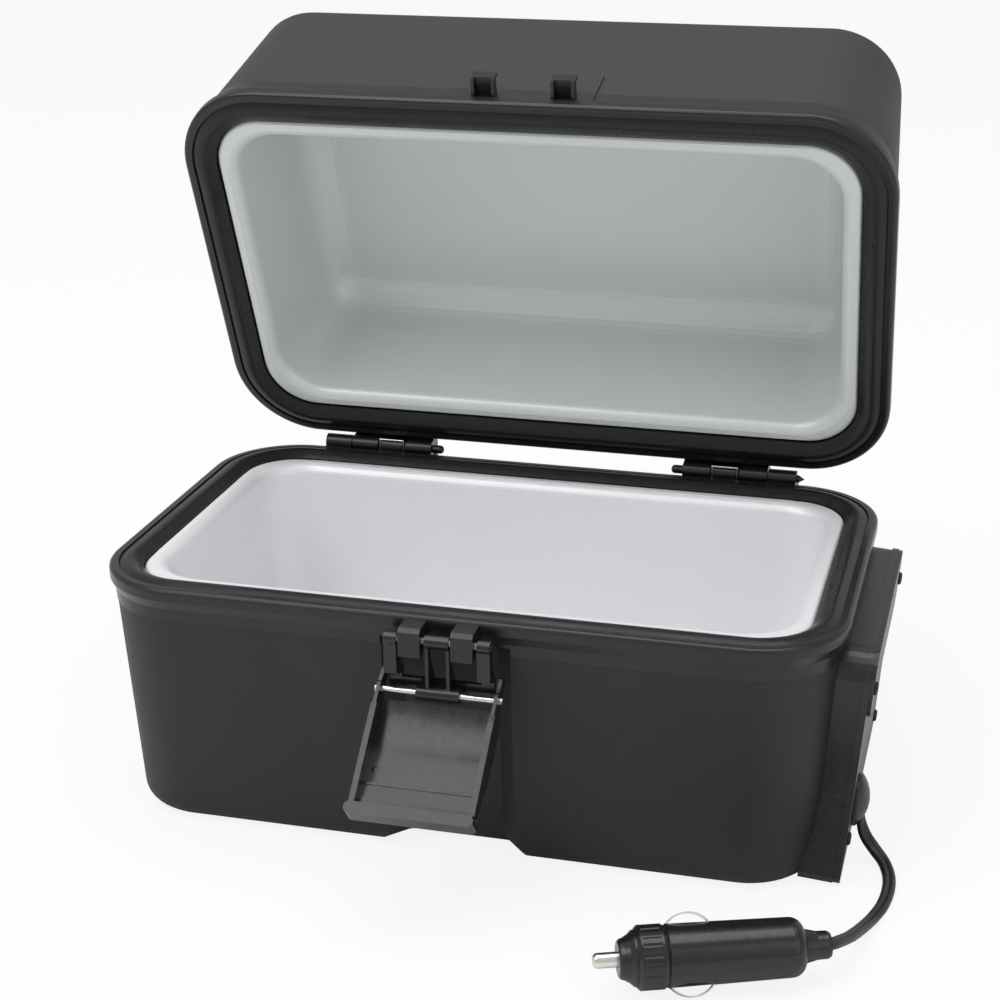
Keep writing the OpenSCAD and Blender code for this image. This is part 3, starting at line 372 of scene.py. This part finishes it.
# %% Glossy mouldings
def moulding(name, colour, rough, wave=0.012):
    m, tree, shader = finish_base(name, colour, rough)
    at = coords_of(tree)
    slow = noise(tree, at, wave, detail=2.0)
    scuff = noise(tree, at, 0.0015, detail=5.0, rough=0.7)
    link(tree, spread(tree, scuff, 0.35, 0.7, rough - 0.06, rough + 0.08), shader.inputs["Roughness"])
    under = bump(tree, shader, slow, 0.0012, 0.10)
    bump(tree, shader, scuff, 0.00005, 0.25, under)
    return m


latch_gloss = moulding("latch_gloss", (0.012, 0.012, 0.0125), 0.2)
cover_gloss = moulding("cover_gloss", (0.013, 0.013, 0.014), 0.32)
plug_gloss = moulding("plug_gloss", (0.012, 0.012, 0.0125), 0.22)
dress(["latch_link", "latch_lever", "carry_handle"], latch_gloss)
dress(["side_cover", "side_spacer", "cord_boss"], cover_gloss)
dress(["plug_body", "plug_boot", "plug_ring", "plug_nose"], plug_gloss)

# %% [markdown]
# The pins, clips, screws and contacts are plated or blackened steel with faint drawing
# marks. They are full metal, since the colour of a metal is the colour of its reflections.

# %% Plated steel
def steel(name, colour, rough, size=0.0004):
    m, tree, shader = finish_base(name, colour, rough, 1.0)
    at = coords_of(tree)
    marks = noise(tree, at, size, detail=4.0, rough=0.65)
    link(tree, spread(tree, marks, 0.3, 0.7, rough - 0.08, rough + 0.12), shader.inputs["Roughness"])
    bump(tree, shader, marks, 0.00003, 0.3)
    return m


pin_steel = steel("pin_steel", (0.42, 0.42, 0.41), 0.34)
bright_steel = steel("bright_steel", (0.72, 0.72, 0.70), 0.24)
black_oxide = steel("black_oxide", (0.05, 0.05, 0.052), 0.38)
contact_nickel = steel("contact_nickel", (0.76, 0.74, 0.69), 0.22)
dress(["latch_hinge_pin", "handle_pins"], pin_steel)
dress(["hinge_pin_left", "hinge_pin_right"], black_oxide)
dress(["latch_pin", "hinge_clip_left", "hinge_clip_right"], bright_steel)
dress(["plug_tip", "plug_side_contacts"], contact_nickel)

# %% [markdown]
# Four screws hold the cover, each with a pan head and a cross in it. One head is turned
# from its profile and the cross is cut out of it. A node tree then sets a copy at each
# place, leaning as the cover leans, and gives each its own turn, as a driver leaves it.
# Copying the object four times would do as well, but a tree keeps the count and the lean
# in one place. The places come from the plain screws in the solid model.

# %% One screw
HEAD_R = 0.0024
HEAD_ROUND = 0.0009
HEAD_HIGH = 0.00115
HEAD_DOME = 0.00008
SHANK_R = 0.0013
SHANK_L = 0.0085
POINT_L = 0.0007
CROSS_R = 0.00135
CROSS_HALF = 0.00034
CROSS_DEEP = 0.0012
CROSS_OVER = 0.0003


def turned(profile, steps=48):
    """A closed solid turned about Z from a profile of radius and height."""
    ring = [(math.cos(2 * math.pi * k / steps), math.sin(2 * math.pi * k / steps)) for k in range(steps)]
    inner = profile[1:-1]
    verts = [(0, 0, profile[0][1])] + [(r * c, r * d, z) for r, z in inner for c, d in ring]
    verts.append((0, 0, profile[-1][1]))
    last = len(verts) - 1
    quads = []
    for i in range(len(inner) - 1):
        a, b = 1 + i * steps, 1 + (i + 1) * steps
        quads += [(a + k, a + (k + 1) % steps, b + (k + 1) % steps, b + k) for k in range(steps)]
    low = [(0, 1 + (k + 1) % steps, 1 + k) for k in range(steps)]
    top = [(last, last - steps + k, last - steps + (k + 1) % steps) for k in range(steps)]
    mesh = bpy.data.meshes.new("turned")
    mesh.from_pydata(verts, [], low + quads + top)
    return mesh


CROSS_TAPER = (0.45, 1.15)  # how large the cross is at its lower and its upper end


def cross_cutter(reach, half, low, high):
    """A tapered cross, smaller at its lower end."""
    plus = [
        (reach, -half), (reach, half), (half, half), (half, reach), (-half, reach), (-half, half),
        (-reach, half), (-reach, -half), (-half, -half), (-half, -reach), (half, -reach), (half, -half),
    ]
    verts = [(t * x, t * y, z) for t, z in zip(CROSS_TAPER, (low, high)) for x, y in plus]
    sides = [(k, (k + 1) % 12, 12 + (k + 1) % 12, 12 + k) for k in range(12)]
    mesh = bpy.data.meshes.new("cross")
    mesh.from_pydata(verts, [], [tuple(range(11, -1, -1)), tuple(range(12, 24))] + sides)
    return mesh


def placed(name, mesh):
    piece = bpy.data.objects.new(name, mesh)
    bpy.context.scene.collection.objects.link(piece)
    return piece


def baked(piece):
    """The mesh that a piece's modifiers make of it."""
    now = bpy.context.evaluated_depsgraph_get()
    return bpy.data.meshes.new_from_object(piece.evaluated_get(now))


head_round = [
    (HEAD_R - HEAD_ROUND * (1 - math.cos(a)), -HEAD_ROUND + HEAD_ROUND * math.sin(a))
    for a in (0, 0.25, 0.5, 0.75, 1.0, 1.25, 1.5)
]
shank = [(0, -SHANK_L), (SHANK_R * 0.6, -SHANK_L), (SHANK_R, POINT_L - SHANK_L), (SHANK_R, -HEAD_HIGH)]
profile = shank + [(HEAD_R - 0.0001, -HEAD_HIGH)] + head_round + [(0, HEAD_DOME)]
plain_screw = placed("plain_screw", turned(profile))
cutter = placed("cross_cutter", cross_cutter(CROSS_R, CROSS_HALF, -CROSS_DEEP, CROSS_OVER))
cut = plain_screw.modifiers.new("cross", "BOOLEAN")
cut.operation = "DIFFERENCE"
cut.solver = "EXACT"
cut.object = cutter
one_screw = placed("one_screw", baked(plain_screw))
print("one screw:", len(one_screw.data.polygons), "faces")

# %% [markdown]
# The tree takes the places, the screw, the lean, the finish and a seed as named inputs.
# Each is set by its identifier before the first look at the result, and the copies are
# made real at the end, because only real meshes can be exported.

# %% A screw at each place
COVER_TILT = math.atan2(6, 83)  # the cover leans out by 6 on its height of 83
cover_out = Vector((math.cos(COVER_TILT), 0, -math.sin(COVER_TILT)))
cover_up = Vector((math.sin(COVER_TILT), 0, math.cos(COVER_TILT)))


def screw_places():
    """Where the plain screws' heads end, from their own points."""
    points = [v.co for v in nodes["side_cover_screws"].data.vertices]
    mid_up = sum(v.dot(cover_up) for v in points) / len(points)
    places = []
    for right in (False, True):
        for high in (False, True):
            own = [v for v in points if (v.y > 0) == right and (v.dot(cover_up) > mid_up) == high]
            out = max(v.dot(cover_out) for v in own)
            ys = [v.y for v in own]
            ups = [v.dot(cover_up) for v in own]
            at = cover_out * out + cover_up * (min(ups) + max(ups)) / 2
            places.append((at.x, (min(ys) + max(ys)) / 2, at.z))
    return places


def screw_tree():
    tree = bpy.data.node_groups.new("screw_tree", "GeometryNodeTree")
    inputs = {}
    for name, kind in (
        ("Places", "NodeSocketGeometry"), ("Screw", "NodeSocketObject"), ("Lean", "NodeSocketFloat"),
        ("Finish", "NodeSocketMaterial"), ("Seed", "NodeSocketInt"),
    ):
        inputs[name] = tree.interface.new_socket(name, in_out="INPUT", socket_type=kind).identifier
    tree.interface.new_socket("Screws", in_out="OUTPUT", socket_type="NodeSocketGeometry")
    start = tree.nodes.new("NodeGroupInput")
    shape = tree.nodes.new("GeometryNodeObjectInfo")
    lean = tree.nodes.new("ShaderNodeCombineXYZ")
    stand = tree.nodes.new("FunctionNodeEulerToRotation")
    copies = tree.nodes.new("GeometryNodeInstanceOnPoints")
    chance = tree.nodes.new("FunctionNodeRandomValue")
    spin = tree.nodes.new("ShaderNodeCombineXYZ")
    twist = tree.nodes.new("FunctionNodeEulerToRotation")
    turn = tree.nodes.new("GeometryNodeRotateInstances")
    solid = tree.nodes.new("GeometryNodeRealizeInstances")
    coat = tree.nodes.new("GeometryNodeSetMaterial")
    end = tree.nodes.new("NodeGroupOutput")
    chance.data_type = "FLOAT"
    least, most = [socket for socket in chance.inputs if socket.enabled][:2]
    least.default_value, most.default_value = 0.0, math.pi / 2
    for a, b in (
        (start.outputs["Screw"], shape.inputs["Object"]),
        (start.outputs["Lean"], lean.inputs["Y"]),
        (lean.outputs[0], stand.inputs[0]),
        (start.outputs["Places"], copies.inputs["Points"]),
        (shape.outputs["Geometry"], copies.inputs["Instance"]),
        (stand.outputs[0], copies.inputs["Rotation"]),
        (start.outputs["Seed"], chance.inputs["Seed"]),
        ([socket for socket in chance.outputs if socket.enabled][0], spin.inputs["Z"]),
        (spin.outputs[0], twist.inputs[0]),
        (copies.outputs[0], turn.inputs["Instances"]),
        (twist.outputs[0], turn.inputs["Rotation"]),
        (turn.outputs[0], solid.inputs[0]),
        (solid.outputs[0], coat.inputs["Geometry"]),
        (start.outputs["Finish"], coat.inputs["Material"]),
        (coat.outputs[0], end.inputs[0]),
    ):
        tree.links.new(a, b)
    return tree, inputs


places = screw_places()
dots = bpy.data.meshes.new("screw_dots")
dots.from_pydata(places, [], [])
holder = placed("screw_holder", dots)
places_tree, inputs = screw_tree()
setter = holder.modifiers.new("screws", "NODES")
setter.node_group = places_tree
setter[inputs["Screw"]] = one_screw
setter[inputs["Lean"]] = math.pi / 2 + COVER_TILT
setter[inputs["Finish"]] = black_oxide
setter[inputs["Seed"]] = 4
screws = placed("cover_screws", baked(holder))
for spare in (plain_screw, cutter, one_screw, holder):
    bpy.data.objects.remove(spare)
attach(screws, "case")
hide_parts("side_cover_screws")
print("screws at", [tuple(round(v, 4) for v in p) for p in places], len(screws.data.polygons), "faces")

# %% [markdown]
# The insulation, the heater, the inner leads and the fuse lie inside and don't show in
# the picture. They could keep the plain colours of the solid model. They get finishes
# that suit them all the same, because the part can be cut open or taken apart.

# %% Pieces inside
fibre, fibre_tree, fibre_shader = finish_base("fibre", (0.55, 0.50, 0.38), 0.9)
bump(fibre_tree, fibre_shader, noise(fibre_tree, coords_of(fibre_tree), 0.002, 5.0), 0.001, 0.6)
foil = steel("foil", (0.62, 0.60, 0.56), 0.35, 0.002)
jacket = moulding("wire_jacket", (0.35, 0.03, 0.02), 0.4)
glass, glass_tree, glass_shader = finish_base("fuse_glass", (0.9, 0.92, 0.9), 0.05)
glass_shader.inputs["Transmission Weight"].default_value = 0.9
dress(["body_insulation", "lid_insulation"], fibre)
dress(["heating_element", "thermal_fuse"], foil)
dress(["inner_wiring"], jacket)
dress(["plug_fuse"], glass)
lead_mesh.materials.append(moulding("lead_rubber", (0.013, 0.013, 0.013), 0.36))

# %% [markdown]
# The floor is a wide pale sheet. Brighter lamps would make it white, but would wash out
# the box. So the camera sees a glow mixed with the sheet's own paint, which keeps the
# soft shadow, while the box is lit by the plain paint. The world is an even white room.

# %% Floor and room
FLOOR_HALF = 6.0
FLOOR_DROP = 0.0002
GLOW_SHARE = 0.87
ROOM_LEVEL = (0.55, 1.0)  # on the box, and to the camera

floor_mesh = bpy.data.meshes.new("floor")
corners = [(x * FLOOR_HALF, y * FLOOR_HALF, 0) for x, y in ((-1, -1), (1, -1), (1, 1), (-1, 1))]
floor_mesh.from_pydata(corners, [], [(0, 1, 2, 3)])
floor = bpy.data.objects.new("floor", floor_mesh)
floor.location.z = -FLOOR_DROP
bpy.context.scene.collection.objects.link(floor)
floor_paint, floor_tree, floor_shader = finish_base("floor_paint", (0.86, 0.86, 0.86), 0.8)
seen = add(floor_tree, "LightPath")
glow = add(floor_tree, "Emission", Strength=1.0)
glow.inputs["Color"].default_value = (1, 1, 1, 1)
share = add(floor_tree, "Math", operation="MULTIPLY")
share.inputs[1].default_value = GLOW_SHARE
link(floor_tree, seen.outputs["Is Camera Ray"], share.inputs[0])
mixer = add(floor_tree, "MixShader")
link(floor_tree, share.outputs[0], mixer.inputs[0])
link(floor_tree, floor_shader.outputs[0], mixer.inputs[1])
link(floor_tree, glow.outputs[0], mixer.inputs[2])
link(floor_tree, mixer.outputs[0], floor_tree.nodes["Material Output"].inputs["Surface"])
floor_mesh.materials.append(floor_paint)

room = bpy.data.worlds.new("room")
room.use_nodes = True
bpy.context.scene.world = room
back = room.node_tree.nodes["Background"]
back.inputs["Color"].default_value = (1, 1, 1, 1)
to_eye = add(room.node_tree, "LightPath")
level_of = add(
    room.node_tree, "MapRange", From_Min=0.0, From_Max=1.0, To_Min=ROOM_LEVEL[0], To_Max=ROOM_LEVEL[1],
)
link(room.node_tree, to_eye.outputs["Is Camera Ray"], level_of.inputs["Value"])
link(room.node_tree, level_of.outputs["Result"], back.inputs["Strength"])

# %% [markdown]
# Three soft lamps light the set: a key from the front left, a weak fill from the right
# and a wide one above, which brings out the lid's upper wall. Spot lamps would give hard
# edges to the shadows, so each is a large flat area turned to the middle of the box.

# %% Lamps
LIT_SPOT = (0, 0, 0.1)


def softbox(name, at, size, power):
    data = bpy.data.lights.new(name, "AREA")
    data.shape = "RECTANGLE"
    data.size, data.size_y = size
    data.energy = power
    lamp = bpy.data.objects.new(name, data)
    bpy.context.scene.collection.objects.link(lamp)
    lamp.location = at
    lamp.rotation_mode = "QUATERNION"
    lamp.rotation_quaternion = (Vector(LIT_SPOT) - Vector(at)).to_track_quat("-Z", "Y")
    return lamp


lamps = [
    softbox("key", (-0.9, -0.9, 1.7), (1.2, 1.2), 13),
    softbox("fill", (1.3, -0.9, 0.9), (1.0, 1.4), 3),
    softbox("top", (0.0, 0.1, 1.7), (1.4, 1.0), 11),
]
print("lamps:", [(lamp.name, lamp.data.energy) for lamp in lamps])

# %% [markdown]
# A filmic view would be kinder to the highlights, but it greys the whites. The plain view
# lets a colour come out as it is written.

# %% Picture settings
bpy.context.scene.view_settings.view_transform = "Standard"
